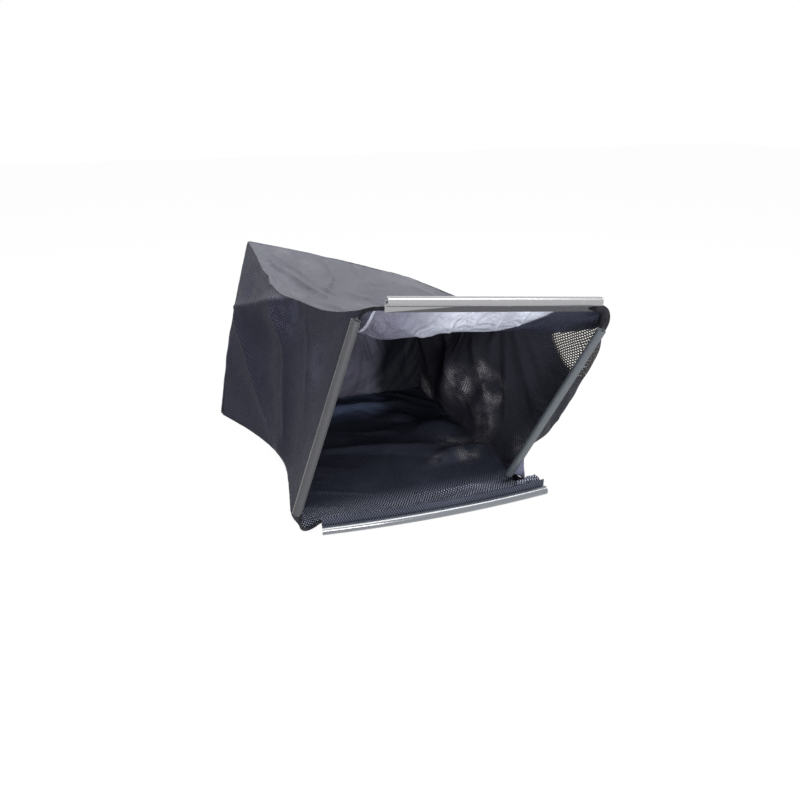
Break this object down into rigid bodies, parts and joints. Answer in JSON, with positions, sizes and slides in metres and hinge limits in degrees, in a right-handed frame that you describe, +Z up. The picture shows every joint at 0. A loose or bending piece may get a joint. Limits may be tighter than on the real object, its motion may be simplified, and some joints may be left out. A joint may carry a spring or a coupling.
{
  "type": "mower grass collection bag",
  "caption": "Slack cloth bag for mown grass, with clip-on plastic channels round its open mouth, coated cloth top and back, and mesh sides and floor.",
  "frame": {"origin": "on the floor under the middle of the bag's bounding box", "axes": "+X across the mouth from its left to its right as seen from the front, +Y from the mouth to the back, +Z up"},
  "size_m": [0.59, 0.5762, 0.3806],
  "materials": {
    "channel": "satin grey extruded plastic",
    "dark_channel": "satin dark grey extruded plastic",
    "coated_cloth": "woven outside, coated inside",
    "mesh_cloth": "fine open mesh",
    "tape": "matt woven tape"
  },
  "bodies": {
    "root": {"top_channel_left": "channel", "top_channel_right": "channel", "bottom_channel_left": "channel", "bottom_channel_right": "channel", "left_channel": "dark_channel", "right_channel": "dark_channel", "mouth_binding": "tape", "top_left_seam": "tape", "top_right_seam": "tape", "bottom_right_seam": "tape", "bottom_left_seam": "tape", "back_piping": "tape", "top_panel": "coated_cloth", "left_panel": "mesh_cloth", "right_panel": "mesh_cloth", "bottom_panel": "mesh_cloth", "back_panel": "coated_cloth"}
  },
  "joints": []
}
